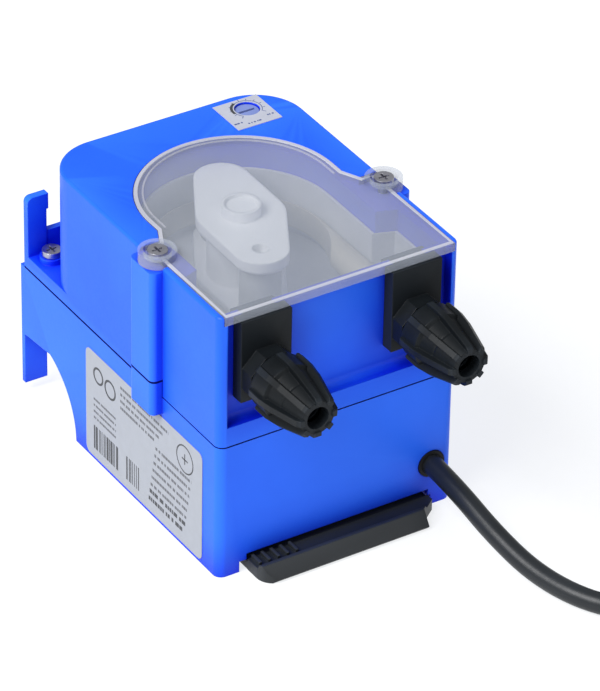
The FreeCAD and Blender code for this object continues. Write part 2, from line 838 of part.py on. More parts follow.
def gear_disc(teeth, phase, low, high):
    disc = Part.Face(involute_gear(teeth, phase)).extrude(Vector(0, 0, high - low))
    disc.translate(Vector(0, 0, low))
    return disc


def gear_feature(name, shape, x, y):
    """A gear whose teeth come from a formula, set at its axis."""
    feature = doc.addObject("Part::Feature", name + "_teeth")
    feature.Shape = shape
    place(feature, x, y, 0)
    return finish(feature, name)


def gears():
    """Motor pinion, compound idler and output gear, in mesh: 12 on 40, 12 on 44."""
    small = int(float(size.pinion_teeth))
    idler = int(float(size.idler_teeth))
    output = int(float(size.output_teeth))
    to_output = math.atan2(float(size.head_y - size.idler_y), float(-size.idler_x))
    to_motor = math.atan2(float(size.motor_y - size.idler_y), float(size.motor_x - size.idler_x))
    half_turn = math.pi
    wheel = gear_disc(output, to_output + half_turn, 52, 57)
    wheel = wheel.cut(Part.makeCylinder(float(size.shaft_radius), 20, Vector(0, 0, 45)))
    gear_feature("output_gear", wheel, 0, size.head_y)
    lower = gear_disc(idler, to_motor, 45.5, 50)
    upper = gear_disc(small, to_output + half_turn / small, 49.9, 57.4)
    bore = Part.makeCylinder(float(size.pin_radius + size.fit_gap), 20, Vector(0, 0, 42))
    gear_feature("compound_gear", lower.fuse(upper).cut(bore), size.idler_x, size.idler_y)
    pinion = gear_disc(small, to_motor + half_turn + half_turn / small, 45, 50.6)
    stub = Part.makeCylinder(1.5, 6.5, Vector(0, 0, 38.8))
    gear_feature("motor_pinion", pinion.fuse(stub), size.motor_x, size.motor_y)


def drive_unit():
    """The geared motor: can, two gearbox plates, posts, idler pin and shaft bush."""
    can = cylinder("motor_body", size.motor_radius, size.motor_x, size.motor_y, (12, 38))
    rear_cap = cylinder("motor_rear", 7, size.motor_x, size.motor_y, (9.5, 12.2))
    nose = cylinder("motor_nose", 6, size.motor_x, size.motor_y, (37.8, 40.4))
    socket = cylinder("motor_socket", 1.55, size.motor_x, size.motor_y, (38.6, 41))
    finish(cut("motor", fuse("motor_blank", can, rear_cap, nose), socket), "gear_motor")
    corners = ((-23, -27), (23, -27), (-23, 22), (23, 22))
    base = box("base_plate", (-27, 27), (-31, 26), (40.4, 42.4))
    shaft_hole = cylinder("base_hole", 3.05, 0, size.head_y, (40, 45))
    pinion_hole = cylinder("base_pinion_hole", 4, size.motor_x, size.motor_y, (40, 45))
    pin_seat = cylinder("base_pin_seat", size.pin_radius, size.idler_x, size.idler_y, (40, 45))
    finish(cut("base", base, shaft_hole, pinion_hole, pin_seat), "gearbox_base")
    top = box("top_plate", (-27, 27), (-31, 26), (59.8, 62.5))
    bush_hole = cylinder("top_hole", 5, 0, size.head_y, (55, 65))
    top_seat = cylinder("top_pin_seat", size.pin_radius, size.idler_x, size.idler_y, (55, 65))
    threads = [cylinder("top_thread_%d" % number, 1.45, x, y, (55, 65))
               for number, (x, y) in enumerate(GEARBOX_SCREWS)]
    finish(cut("top", top, bush_hole, top_seat, *threads), "gearbox_plate")
    posts = [cylinder("post_%d" % number, 2.5, x, y, (42.4, 59.8))
             for number, (x, y) in enumerate(corners)]
    finish(group("posts", *posts), "gearbox_posts")
    finish(cylinder("idler_bar", size.pin_radius, size.idler_x, size.idler_y, (40.4, 62.5)), "idler_pin")
    ring = cylinder("bush_ring", 5, 0, size.head_y, (59.6, 64.6))
    bush_bore = cylinder("bush_bore", size.shaft_radius + size.fit_gap, 0, size.head_y, (55, 68))
    finish(cut("bush", ring, bush_bore), "output_bush")


# Electronics

def electronics():
    """Circuit board with its parts, the flow potentiometer, the terminal block and lead clamp."""
    board = box("board", (-31, 31), (39.6, 52.2), (80, 81.6))
    finish(board, "circuit_board")
    chips = [
        box("capacitor", (-28, -16), (41, 50), (81.6, 91)),
        box("relay", (-13, -1), (41, 50), (81.6, 90)),
        cylinder("reservoir", 4, 8, 45.5, (81.6, 92)),
        box("driver", (15, 21), (42, 48), (81.6, 84)),
    ]
    finish(group("board_parts", *chips), "board_parts")
    x, y = size.dial_x, size.dial_y
    case = box("pot_case", (x - 5, x + 2.8), (y - 4.6, y + 4.6), (81.6, 87))
    well = cylinder("pot_well", 1.6, x, y, (83, 90))
    finish(cut("pot", case, well), "flow_potentiometer")
    knob = cylinder("knob_disc", size.dial_radius, x, y, (91, 97.4))
    stem = cylinder("knob_stem", 1.5, x, y, (83.4, 91.2))
    slot = box("knob_slot", (x - 3, x + 3), (y - 0.5, y + 0.5), (96.2, 99))
    finish(cut("knob", fuse("knob_blank", knob, stem), slot), "adjuster_knob")
    block = box("block", (31, 41), (-24, -12), (6.5, 21))
    wire_holes = [cylinder("block_hole_%d" % number, 1.3, as_size(33.2 + 3 * number), (-26, -15), 16.2)
                  for number in range(3)]
    finish(cut("terminals", block, *wire_holes), "terminal_block")
    saddle = box("saddle", (29.4, 41.2), (-44, -38), (6.5, 21.5))
    groove = cylinder("saddle_groove", size.lead_radius + 0.02, size.lead_x, (-50, -30), size.lead_z)
    finish(cut("clamp", saddle, groove), "cable_clamp")
    run = cylinder("inner_lead_run", size.lead_radius, size.lead_x, (-55.5, -24.2), size.lead_z)
    finish(run, "inner_lead")
    collar = cylinder("grommet_body", 4.8, size.lead_x, (-56, -52.6), size.lead_z)
    grommet_bore = cylinder("grommet_bore", size.lead_radius + 0.02, size.lead_x, (-60, -50), size.lead_z)
    finish(cut("grommet", collar, grommet_bore), "cable_grommet")


# Labels, bracket and latch

def labels():
    """The square dial sticker on the top face and the rating label on the left wall."""
    dial_label = box("sticker", (18.7, 35.3), (35.9, 52.3), (98, 98.2))
    window = cylinder("sticker_window", size.dial_radius + 0.3, size.dial_x, size.dial_y, (95, 99))
    finish(cut("dial_sticker", dial_label, window), "dial_label")
    near, far, low, high, corner = -46, 26.5, 1.2, 42, 2.5
    thick = (-44.2, -44)
    pieces = [
        box("label_middle", thick, (near + corner, far - corner), (low, high)),
        box("label_band", thick, (near, far), (low + corner, high - corner))]
    for y in (near + corner, far - corner):
        for z in (low + corner, high - corner):
            pieces.append(cylinder("label_corner_%d" % len(pieces), corner, thick, y, z))
    finish(fuse("label", *pieces), "side_label")


def bracket_and_latch():
    """The wall bracket in the back recess, and the sliding release latch in front of it."""
    body = new_body("bracket")
    plate = new_sketch(body)
    rectangle(plate, (-35.7, 35.7), (-26, 30.6))
    pad(body, plate, 2.4)
    for side in (-1, 1):
        rail = new_sketch(body, height=2.4)
        rectangle(rail, side_limits(side, 31.7, 35.7), (-26, 30.6))
        pad(body, rail, 1.4)
    holes = new_sketch(body)
    for y in (-15, 20):
        circle(holes, 0, y, 2.2)
    pocket(body, holes, 3, backward=True)
    finish(body, "wall_bracket")
    latch = new_body("latch")
    bar = new_sketch(latch, "YZ_Plane")
    outline(bar, [
        (-66.4, 0.2), (-56, 0.2), (-56, 4.4), (-61.8, 4.4), (-62.6, 5.9), (-63.9, 5.9), (-67.2, 1.2)])
    pad(latch, bar, 69.4, symmetric=True)
    round_corner = new_sketch(latch, height=7)
    outline(round_corner, [
        (-36, -69), (-27.2, -69), (-27.2, -67.2), (-33.2, -61.2, 6, (-31.443, -65.443)), (-33.2, -54),
        (-36, -54)])
    pocket(latch, round_corner, 8)
    cut_corner = new_sketch(latch, height=7)
    outline(cut_corner, [(36, -57.6), (28.2, -63.6), (28.2, -69), (36, -69)])
    pocket(latch, cut_corner, 8)
    for number in range(5):
        rib = new_sketch(latch, height=4)
        rectangle(rib, (-32 + 3.4 * number, -31 + 3.4 * number), (-61, -56))
        pad(latch, rib, 1.6)
    tongue = new_sketch(latch, height=0.3)
    rectangle(tongue, (-28, 28), (-56.5, -31))
    pad(latch, tongue, 3.2)
    heel = new_sketch(latch, height=0.3)
    rectangle(heel, (-33.2, 34.7), (-56.5, -48.5))
    pad(latch, heel, 3.2)
    finish(latch, "release_latch")


# Mains lead

def arc_route(points):
    """A path of straight runs joined by tangent arcs, each as large as its two runs allow."""
    edges = []
    start = points[0]
    for before, here, after in zip(points, points[1:], points[2:]):
        back, ahead = before - here, after - here
        turn = math.pi - back.getAngle(ahead)
        reach = 0.45 * min(back.Length, ahead.Length)
        first = here + back.normalize() * reach
        last = here + ahead.normalize() * reach
        radius = reach / math.tan(turn / 2)
        print("lead bend radius %.1f mm, turn %.0f degrees" % (radius, math.degrees(turn)))
        corner = (back + ahead).normalize()
        middle = here + corner * (math.hypot(radius, reach) - radius)
        edges.append(Part.LineSegment(start, first).toShape())
        edges.append(Part.Arc(first, middle, last).toShape())
        start = last
    edges.append(Part.LineSegment(start, points[-1]).toShape())
    return Part.Wire(edges)


# the free lead's route: out of the grommet, down to the surface and along it to the coil
LEAD_POINTS = (
    (35.8, -55.5, 16.2), (35.8, -71, 15.2), (37, -90, 9.6), (40.4, -109, 4.4), (46.5, -128, 3.6),
    (57.2, -140.8, 3.6), (74, -145.3, 3.6), (94, -145.8, 3.6), (114.3, -145.86, 3.6))


def free_lead():
    """The lead from its hole to the place where it meets the coil."""
    route = arc_route([Vector(*point) for point in LEAD_POINTS])
    radius = float(size.lead_radius)
    ring = Part.Wire(Part.makeCircle(radius, route.Vertexes[0].Point, route.Edges[0].tangentAt(0)))
    tube = route.makePipeShell([ring], True, True)
    print("lead tube volume ratio %.4f, length %.1f mm" % (
        tube.Volume / (math.pi * radius ** 2 * route.Length), route.Length))
    lead = doc.addObject("Part::Feature", "lead_run")
    lead.Shape = tube
    finish(lead, "power_cord")


def coil():
    """The put-away turns: three layers of two turns, and one more turn on top of the inner ones."""
    x, y = size.coil_x, size.coil_y
    outer = size.coil_radius + size.coil_half
    inner = size.coil_radius - size.coil_half
    low = 0.1
    shoulder = low + 3 * size.coil_layer
    top = shoulder + size.coil_layer + 0.1
    layers = cylinder("coil_layers", outer, x, y, (low, shoulder))
    last_turn = cylinder("coil_last_turn", size.coil_radius + 0.1, x, y, (low, top))
    core = cylinder("coil_core", inner, x, y, (-1, top + 1))
    finish(cut("coil", fuse("coil_blank", layers, last_turn), core), "cord_coil")
    band = box("tie_band", (x - 2.5, x + 2.5), (y - outer - 1, y - inner + 1), (0.1, top + 1))
    window = box("tie_window", (x - 4, x + 4), (y - outer, y - inner), (0.9, top))
    finish(cut("tie", band, window), "cord_tie")
    track = outer - size.lead_radius - 0.1
    wires = []
    for number in (-1, 0, 1):
        bend = track + 2.1 * as_size(number)
        wires.append(bent_wire("wire_%d" % (number + 2), bend, 1, 337, 98, shoulder + 1))
        wires.append(bent_wire("ferrule_%d" % (number + 2), bend, 0.7, 75, 12, shoulder + 1))
    finish(group("wires", *wires), "wire_ends")


def bent_wire(name, bend_radius, radius, start, sweep, level):
    """A conductor that lies along the coil's outer turn, from a start angle through a sweep."""
    wire = doc.addObject("Part::Torus", name)
    wire.Placement = Placement(Vector(), Rotation(Vector(0, 0, 1), start))
    wire.Angle3 = sweep
    bind(wire, "Radius1", bend_radius)
    bind(wire, "Radius2", radius)
    place(wire, size.coil_x, size.coil_y, level)
    return wire


def build():
    rear_shell()
    front_shell()
    head_liner()
    clear_cover()
    screws()
    rotor()
    rollers()
    pump_tube()
    for side, hand in ((-1, "left"), (1, "right")):
        fitting(side, hand + "_fitting")
        nut(side, hand + "_nut")
        collet(side, hand + "_collet")
    gears()
    drive_unit()
    electronics()
    labels()
    bracket_and_latch()
    free_lead()
    coil()


def check_and_write():
    """Stops on any failed object or bad sub-part, then writes one STEP file per sub-part."""
    doc.recompute()
    bad = [thing.Name for thing in doc.Objects if {"Invalid", "Error"} & set(thing.State)]
    if bad:
        raise RuntimeError("failed objects: " + ", ".join(bad))
    for thing in finished:
        if thing.Shape.isNull() or not thing.Shape.isValid():
            raise RuntimeError("bad shape: " + thing.Label)
    os.makedirs("parts", exist_ok=True)
    for thing in finished:
        thing.Shape.exportStep("parts/%s.step" % thing.Label)
        print("%-20s solids %d volume %.1f" % (thing.Label, len(thing.Shape.Solids), thing.Shape.Volume))


build()
check_and_write()
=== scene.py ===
import json
import math
import random

import bmesh
import bpy
from mathutils import Matrix, Vector


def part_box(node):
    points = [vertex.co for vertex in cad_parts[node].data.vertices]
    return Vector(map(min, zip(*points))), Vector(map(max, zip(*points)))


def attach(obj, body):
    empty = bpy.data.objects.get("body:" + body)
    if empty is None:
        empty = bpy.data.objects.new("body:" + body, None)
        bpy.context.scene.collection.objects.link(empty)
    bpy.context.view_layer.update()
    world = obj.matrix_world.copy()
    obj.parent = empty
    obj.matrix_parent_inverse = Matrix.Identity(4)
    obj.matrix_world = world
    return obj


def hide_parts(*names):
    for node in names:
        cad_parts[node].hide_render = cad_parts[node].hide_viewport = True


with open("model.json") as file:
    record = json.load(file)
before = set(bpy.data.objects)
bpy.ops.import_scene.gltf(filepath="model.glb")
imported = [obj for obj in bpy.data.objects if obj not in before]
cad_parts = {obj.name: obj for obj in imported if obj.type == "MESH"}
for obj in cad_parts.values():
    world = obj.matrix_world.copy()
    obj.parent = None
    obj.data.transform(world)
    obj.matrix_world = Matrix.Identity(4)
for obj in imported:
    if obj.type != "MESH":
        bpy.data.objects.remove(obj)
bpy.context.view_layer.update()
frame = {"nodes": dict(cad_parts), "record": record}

# The looks of a peristaltic dosing pump that lies on its back. Lengths are metres in the CAD
# frame: X across the pump, +Y towards its hook end, Z up from the wall side to the clear cover.

MM = 0.001
NODES = frame["nodes"]


def mm(*values):
    return Vector([value * MM for value in values])


# Camera

def look_from(azimuth, elevation, distance, target, roll, lens):
    """A camera that sees the target from a bearing and a height, both in degrees."""
    a, e = math.radians(azimuth), math.radians(elevation)
    away = Vector((math.sin(a) * math.cos(e), -math.cos(a) * math.cos(e), math.sin(e)))
    data = bpy.data.cameras.new("camera")
    data.lens = lens
    data.sensor_width = 36
    data.clip_end = 20
    camera = bpy.data.objects.new("camera", data)
    bpy.context.scene.collection.objects.link(camera)
    turn = away.to_track_quat("Z", "Y").to_matrix().to_4x4()
    camera.matrix_world = Matrix.Translation(target + away * distance) @ turn @ Matrix.Rotation(
        math.radians(roll), 4, "Z")
    bpy.context.scene.camera = camera


look_from(azimuth=-32.65, elevation=33.87, distance=1.6885, target=mm(12.99, -12.06, 44.31),
          roll=1.10, lens=273.86)


# Materials

def new_material(name):
    material = bpy.data.materials.new(name)
    material.use_nodes = True
    return material, material.node_tree.nodes, material.node_tree.links


def shader_of(material):
    return next(node for node in material.node_tree.nodes if node.type == "BSDF_PRINCIPLED")


def noise(nodes, links, scale, detail, stretch=(1, 1, 1)):
    """Noise in the object's own metres; stretch above 1 makes finer detail along that axis."""
    place = nodes.new("ShaderNodeTexCoord")
    scaled = nodes.new("ShaderNodeMapping")
    scaled.inputs["Scale"].default_value = stretch
    texture = nodes.new("ShaderNodeTexNoise")
    texture.inputs["Scale"].default_value = scale
    texture.inputs["Detail"].default_value = detail
    links.new(place.outputs["Object"], scaled.inputs["Vector"])
    links.new(scaled.outputs["Vector"], texture.inputs["Vector"])
    return texture.outputs["Fac"]


def ramp(nodes, links, source, low, high):
    """Maps a 0-1 value on to a blend of two colours."""
    blend = nodes.new("ShaderNodeValToRGB")
    blend.color_ramp.elements[0].position = 0.3
    blend.color_ramp.elements[1].position = 0.7
    blend.color_ramp.elements[0].color = (*low, 1)
    blend.color_ramp.elements[1].color = (*high, 1)
    links.new(source, blend.inputs["Fac"])
    return blend.outputs["Color"]


def spread(nodes, links, source, low, high):
    """Maps a 0-1 value on to a range of numbers."""
    scale = nodes.new("ShaderNodeMapRange")
    scale.inputs["To Min"].default_value = low
    scale.inputs["To Max"].default_value = high
    links.new(source, scale.inputs["Value"])
    return scale.outputs["Result"]


def bumpy(nodes, links, shader, height, strength, distance, round_radius=0.0):
    """Surface relief over softly rounded edges."""
    bump = nodes.new("ShaderNodeBump")
    bump.inputs["Strength"].default_value = strength
    bump.inputs["Distance"].default_value = distance
    links.new(height, bump.inputs["Height"])
    if round_radius:
        bevel = nodes.new("ShaderNodeBevel")
        bevel.samples = 6
        bevel.inputs["Radius"].default_value = round_radius
        links.new(bevel.outputs["Normal"], bump.inputs["Normal"])
    links.new(bump.outputs["Normal"], shader.inputs["Normal"])


def painted_edge_highlight(nodes, links, base, highlight_colour):
    """Paints a highlight on the convex edges of a moulded piece, half way to the highlight colour at most.
    """
    geometry = nodes.new("ShaderNodeNewGeometry")
    edge = nodes.new("ShaderNodeValToRGB")
    edge.color_ramp.elements[0].position = 0.52
    edge.color_ramp.elements[1].position = 0.62
    edge.color_ramp.elements[0].color = (0, 0, 0, 1)
    edge.color_ramp.elements[1].color = (0.5, 0.5, 0.5, 1)
    mix = nodes.new("ShaderNodeMix")
    mix.data_type = "RGBA"
    mix.inputs["B"].default_value = (*highlight_colour, 1)
    links.new(geometry.outputs["Pointiness"], edge.inputs["Fac"])
    links.new(edge.outputs["Color"], mix.inputs["Factor"])
    links.new(base, mix.inputs["A"])
    return mix.outputs["Result"]


def painted_crease_shade(nodes, links, base, shade_colour):
    """Paints shade into inner corners and under overhangs by darkening the colour towards the shade colour.
    """
    corner = nodes.new("ShaderNodeAmbientOcclusion")
    corner.samples = 8
    corner.inputs["Distance"].default_value = 18 * MM
    openness = nodes.new("ShaderNodeMapRange")
    openness.inputs["From Min"].default_value = 0.35
    openness.inputs["From Max"].default_value = 0.95
    mix = nodes.new("ShaderNodeMix")
    mix.data_type = "RGBA"
    mix.inputs["A"].default_value = (*shade_colour, 1)
    links.new(corner.outputs["AO"], openness.inputs["Value"])
    links.new(openness.outputs["Result"], mix.inputs["Factor"])
    links.new(base, mix.inputs["B"])
    return mix.outputs["Result"]


def moulded(name, low, high, roughness, relief=0.12, edge=None, rounding=0.0004, coat=0.0, shine=0.3,
            crease_shade=None):
    """Moulded plastic: slow colour drift, fine grain in gloss and relief, painted highlight on convex
    edges, painted shade in creases.
    """
    material, nodes, links = new_material(name)
    shader = shader_of(material)
    drift = noise(nodes, links, 45.0, 3.0)
    colour = ramp(nodes, links, drift, low, high)
    # painted highlight on the convex edges
    if edge:
        colour = painted_edge_highlight(nodes, links, colour, edge)
    # painted shade in inner corners and under overhangs
    if crease_shade:
        colour = painted_crease_shade(nodes, links, colour, crease_shade)
    links.new(colour, shader.inputs["Base Color"])
    fine = noise(nodes, links, 900.0, 2.0)
    links.new(spread(nodes, links, fine, roughness - 0.06, roughness + 0.06), shader.inputs["Roughness"])
    shader.inputs["Specular IOR Level"].default_value = shine
    shader.inputs["Coat Weight"].default_value = coat
    shader.inputs["Coat Roughness"].default_value = 0.25
    bumpy(nodes, links, shader, fine, relief, 0.0001, rounding)
    return material


def metal(name, colour, roughness, brushed=(1, 1, 14)):
    """Bare metal with fine turning or brushing marks."""
    material, nodes, links = new_material(name)
    shader = shader_of(material)
    shader.inputs["Metallic"].default_value = 1.0
    marks = noise(nodes, links, 500.0, 3.0, brushed)
    dark = tuple(0.8 * part for part in colour)
    links.new(ramp(nodes, links, marks, dark, colour), shader.inputs["Base Color"])
    links.new(spread(nodes, links, marks, roughness - 0.08, roughness + 0.1), shader.inputs["Roughness"])
    bumpy(nodes, links, shader, marks, 0.12, 0.00005, 0.0002)
    return material


def see_through(name, alpha, roughness, haze_and_highlight_low, haze_and_highlight_high):
    """Clear plastic: part straight view, part milky haze that drifts over the surface."""
    material, nodes, links = new_material(name)
    shader = shader_of(material)
    cloud = noise(nodes, links, 28.0, 2.0)
    links.new(ramp(nodes, links, cloud, haze_and_highlight_low, haze_and_highlight_high), shader.inputs["Base Color"])
    fine = noise(nodes, links, 240.0, 2.0)
    links.new(spread(nodes, links, fine, roughness, roughness + 0.08), shader.inputs["Roughness"])
    shader.inputs["IOR"].default_value = 1.49
    shader.inputs["Alpha"].default_value = alpha
    bumpy(nodes, links, shader, fine, 0.03, 0.0001)
    return material


def printed(name, colour, roughness):
    """Print or label stock: faint mottling and a fine relief."""
    material, nodes, links = new_material(name)
    shader = shader_of(material)
    mottle = noise(nodes, links, 320.0, 4.0)
    low = tuple(0.93 * part for part in colour)
    links.new(ramp(nodes, links, mottle, low, colour), shader.inputs["Base Color"])
    links.new(spread(nodes, links, mottle, roughness - 0.05, roughness + 0.05), shader.inputs["Roughness"])
    bumpy(nodes, links, shader, mottle, 0.05, 0.0001)
    return material


def conductors(name, centre, middle, step, ferrule_x):
    """Three wires side by side round the coil: blue, earth and brown sleeves, told apart by their
    distance from its centre, with tinned ferrules on the side of ferrule_x away from +X."""
    material, nodes, links = new_material(name)
    shader = shader_of(material)
    place = nodes.new("ShaderNodeTexCoord")
    split = nodes.new("ShaderNodeSeparateXYZ")
    flat = nodes.new("ShaderNodeCombineXYZ")
    away = nodes.new("ShaderNodeVectorMath")
    away.operation = "DISTANCE"
    away.inputs[1].default_value = (centre.x, centre.y, 0)
    links.new(place.outputs["Object"], split.inputs["Vector"])
    links.new(split.outputs["X"], flat.inputs["X"])
    links.new(split.outputs["Y"], flat.inputs["Y"])
    links.new(flat.outputs["Vector"], away.inputs[0])
    across = nodes.new("ShaderNodeMapRange")
    across.inputs["From Min"].default_value = middle - 1.5 * step
    across.inputs["From Max"].default_value = middle + 1.5 * step
    links.new(away.outputs["Value"], across.inputs["Value"])
    bands = nodes.new("ShaderNodeValToRGB")
    bands.color_ramp.interpolation = "CONSTANT"
    bands.color_ramp.elements[0].color = (0.03, 0.12, 0.55, 1)
    bands.color_ramp.elements[1].position = 1 / 3
    bands.color_ramp.elements[1].color = (0.25, 0.45, 0.05, 1)
    bands.color_ramp.elements.new(2 / 3).color = (0.16, 0.06, 0.03, 1)
    links.new(across.outputs["Result"], bands.inputs["Fac"])
    tip = nodes.new("ShaderNodeMath")
    tip.operation = "LESS_THAN"
    tip.inputs[1].default_value = ferrule_x
    links.new(split.outputs["X"], tip.inputs[0])
    tinned = nodes.new("ShaderNodeMix")
    tinned.data_type = "RGBA"
    tinned.inputs["B"].default_value = (0.55, 0.55, 0.57, 1)
    links.new(tip.outputs["Value"], tinned.inputs["Factor"])
    links.new(bands.outputs["Color"], tinned.inputs["A"])
    links.new(tinned.outputs["Result"], shader.inputs["Base Color"])
    links.new(tip.outputs["Value"], shader.inputs["Metallic"])
    fine = noise(nodes, links, 700.0, 2.0)
    links.new(spread(nodes, links, fine, 0.35, 0.5), shader.inputs["Roughness"])
    bumpy(nodes, links, shader, fine, 0.08, 0.0001)
    return material


BLACK = dict(low=(0.0035, 0.0048, 0.006), high=(0.0065, 0.0085, 0.0105))
MATERIALS = {
    # the housing's lighter convex edges are a painted highlight and its darker creases are painted shade
    "housing": moulded("blue_housing", (0.007, 0.090, 0.82), (0.010, 0.106, 0.88), 0.42, rounding=0.0005,
                       edge=(0.03, 0.19, 1.0), shine=0.2, crease_shade=(0.001, 0.012, 0.62)),
    "cover": see_through("clear_cover", 0.32, 0.16, (0.36, 0.40, 0.48), (0.44, 0.48, 0.56)),
    "liner": moulded("grey_liner", (0.47, 0.48, 0.51), (0.58, 0.59, 0.61), 0.55),
    "rotor": moulded("white_rotor", (0.86, 0.86, 0.86), (0.92, 0.92, 0.92), 0.40, rounding=0.0012),
    "roller": moulded("rollers", (0.40, 0.41, 0.40), (0.50, 0.51, 0.50), 0.35),
    "tube": moulded("pump_tube", (0.42, 0.39, 0.30), (0.52, 0.48, 0.38), 0.38, coat=0.2),
    "screw": metal("zinc_screws", (0.52, 0.52, 0.58), 0.30),
    "shaft": metal("ground_steel", (0.45, 0.46, 0.48), 0.26, (1, 1, 0.2)),
    "gear": moulded("nylon_gears", (0.52, 0.49, 0.40), (0.62, 0.59, 0.50), 0.45),
    "motor": metal("motor_can", (0.32, 0.33, 0.35), 0.42),
    "plate": metal("pressed_plate", (0.45, 0.46, 0.48), 0.40, (1, 12, 1)),
    "board": moulded("circuit_board", (0.008, 0.06, 0.02), (0.012, 0.09, 0.03), 0.35),
    "component": moulded("components", (0.02, 0.02, 0.022), (0.035, 0.035, 0.04), 0.45),
    "dial": moulded("flow_dial", (0.13, 0.18, 0.44), (0.20, 0.26, 0.54), 0.35, rounding=0.0003),
    "sticker": printed("dial_sticker", (0.42, 0.44, 0.52), 0.5),
    "rating": printed("rating_label", (0.31, 0.33, 0.375), 0.36),
    # the lighter edges of the ports and the latch are a painted highlight
    "port": moulded("port_plastic", **BLACK, roughness=0.44, edge=(0.022, 0.028, 0.036), shine=0.16),
    "latch": moulded("latch_plastic", **BLACK, roughness=0.44, edge=(0.04, 0.045, 0.05)),
    "bracket": moulded("bracket_plastic", **BLACK, roughness=0.5),
    "lead": moulded("lead_sheath", (0.010, 0.012, 0.014), (0.018, 0.021, 0.024), 0.38, relief=0.2,
                    rounding=0),
    "grommet": moulded("grommet_rubber", (0.006, 0.006, 0.007), (0.010, 0.010, 0.012), 0.6, shine=0.2),
    "terminal": moulded("terminal_block", (0.02, 0.14, 0.05), (0.03, 0.18, 0.07), 0.35),
    "tie": moulded("nylon_tie", (0.012, 0.012, 0.012), (0.02, 0.02, 0.02), 0.4),
    "wire": metal("sleeves_and_bush", (0.45, 0.28, 0.12), 0.35),
}
INK = printed("label_ink", (0.035, 0.038, 0.045), 0.5)
FAINT_INK = printed("faint_ink", (0.10, 0.105, 0.12), 0.5)
# the rim's light haze colours are partly frosting and partly painted highlight along the cover's edge; the
# inner rim's line is painted highlight
RIM_HAZE_AND_HIGHLIGHT = dict(haze_and_highlight_low=(0.56, 0.57, 0.64), haze_and_highlight_high=(0.66, 0.67, 0.74))
FAINT_RIM = see_through("cover_inner_rim", alpha=0.22, roughness=0.3, **RIM_HAZE_AND_HIGHLIGHT)
RIM = see_through("cover_rim", alpha=0.5, roughness=0.22, **RIM_HAZE_AND_HIGHLIGHT)
BLUE_INK = printed("dial_ink", (0.06, 0.09, 0.24), 0.5)


# the three conductors lie side by side round the coil's centre, with their ferrules past FERRULE_X
WIRE_TRACK = 38
WIRE_STEP = 2.1
FERRULE_X = 9.85


def paint_nodes():
    """Every CAD node takes the material of its slot in the record."""
    for part in frame["record"]["subparts"]:
        mesh = NODES[part["node"]].data
        mesh.materials.clear()
        mesh.materials.append(MATERIALS[part["material_slot"]])
    low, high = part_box("cord_coil")
    centre = (low + high) / 2
    NODES["wire_ends"].data.materials[0] = conductors(
        "conductors", centre, WIRE_TRACK * MM, WIRE_STEP * MM, centre.x + FERRULE_X * MM)


# Mesh helpers

def mesh_object(name, geometry, material, body):
    """A piece made from a bmesh, riding on a body and painted from a slot."""
    mesh = bpy.data.meshes.new(name)
    geometry.to_mesh(mesh)
    geometry.free()
    mesh.materials.append(material)
    thing = bpy.data.objects.new(name, mesh)
    bpy.context.scene.collection.objects.link(thing)
    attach(thing, body)


def swept_profile(path, profile, closed=False):
    """A strip along a flat path: the profile's (outward, up) points at each path point."""
    geometry = bmesh.new()
    count = len(path)
    rows = []
    for index, point in enumerate(path):
        before = path[index - 1] if closed or index else point
        after = path[(index + 1) % count] if closed or index < count - 1 else point
        along = (after - before).normalized()
        outward = Vector((along.y, -along.x, 0))
        rows.append([geometry.verts.new(point + outward * out + Vector((0, 0, up)))
                     for out, up in profile])
    spans = count if closed else count - 1
    size = len(profile)
    for index in range(spans):
        here, there = rows[index], rows[(index + 1) % count]
        for step in range(size):
            onward = (step + 1) % size
            geometry.faces.new((here[step], here[onward], there[onward], there[step]))
    if not closed:
        geometry.faces.new(rows[0])
        geometry.faces.new(rows[-1])
    bmesh.ops.recalc_face_normals(geometry, faces=geometry.faces)
    return geometry


# Mains lead

LEAD_ROUTE = [
    (35.8, -55.5, 16.2), (35.8, -71, 15.2), (37, -90, 9.6), (40.4, -109, 4.4), (46.5, -128, 3.6),
    (57.2, -140.8, 3.6), (74, -145.3, 3.6), (94, -145.8, 3.6), (114.3, -145.86, 3.6)]
LEAD_RADIUS = 3.5
LAYER = 7.0
TRACK = 7.15
POINTS_PER_TURN = 16
COIL_STEPS = 99
STRIPPED_AT = math.radians(340.5)
# where, in turns, the lead starts to cross to the inner track, to climb, to cross out again, and so on
CROSS_IN = (0.8, 4.17)
CROSS_OUT = (2.49, 5.86)
CLIMB = (1.63, 3.31, 5.0)
CROSS_TURNS = 0.2
CLIMB_TURNS = 0.24


def eased(turns, start, width):
    """0 before start, 1 after start + width, and a smooth change between them."""
    share = min(1, max(0, (turns - start) / width))
    return share * share * (3 - 2 * share)


def coil_points():
    """The turns of the put-away coil, two to a layer, from where the route meets it to the stripped end."""
    low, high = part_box("cord_coil")
    centre = (low + high) / 2 / MM
    outer = math.dist(LEAD_ROUTE[-1][:2], centre[:2])
    start = math.atan2(LEAD_ROUTE[-1][1] - centre.y, LEAD_ROUTE[-1][0] - centre.x)
    stretch = 1 / math.cos(math.pi / POINTS_PER_TURN)
    points = []
    for step in range(1, COIL_STEPS + 1):
        turns = step / POINTS_PER_TURN
        inwards = sum(eased(turns, at, CROSS_TURNS) for at in CROSS_IN)
        outwards = sum(eased(turns, at, CROSS_TURNS) for at in CROSS_OUT)
        climbs = sum(eased(turns, at, CLIMB_TURNS) for at in CLIMB)
        reach = (outer + TRACK * (outwards - inwards)) * stretch
        angle = start + math.tau * turns
        points.append(mm(centre.x + reach * math.cos(angle), centre.y + reach * math.sin(angle),
                         LEAD_ROUTE[-1][2] + LAYER * climbs))
    end = points[-1].copy()
    end.x = (centre.x + outer * math.cos(STRIPPED_AT)) * MM
    end.y = (centre.y + outer * math.sin(STRIPPED_AT)) * MM
    return points + [end]


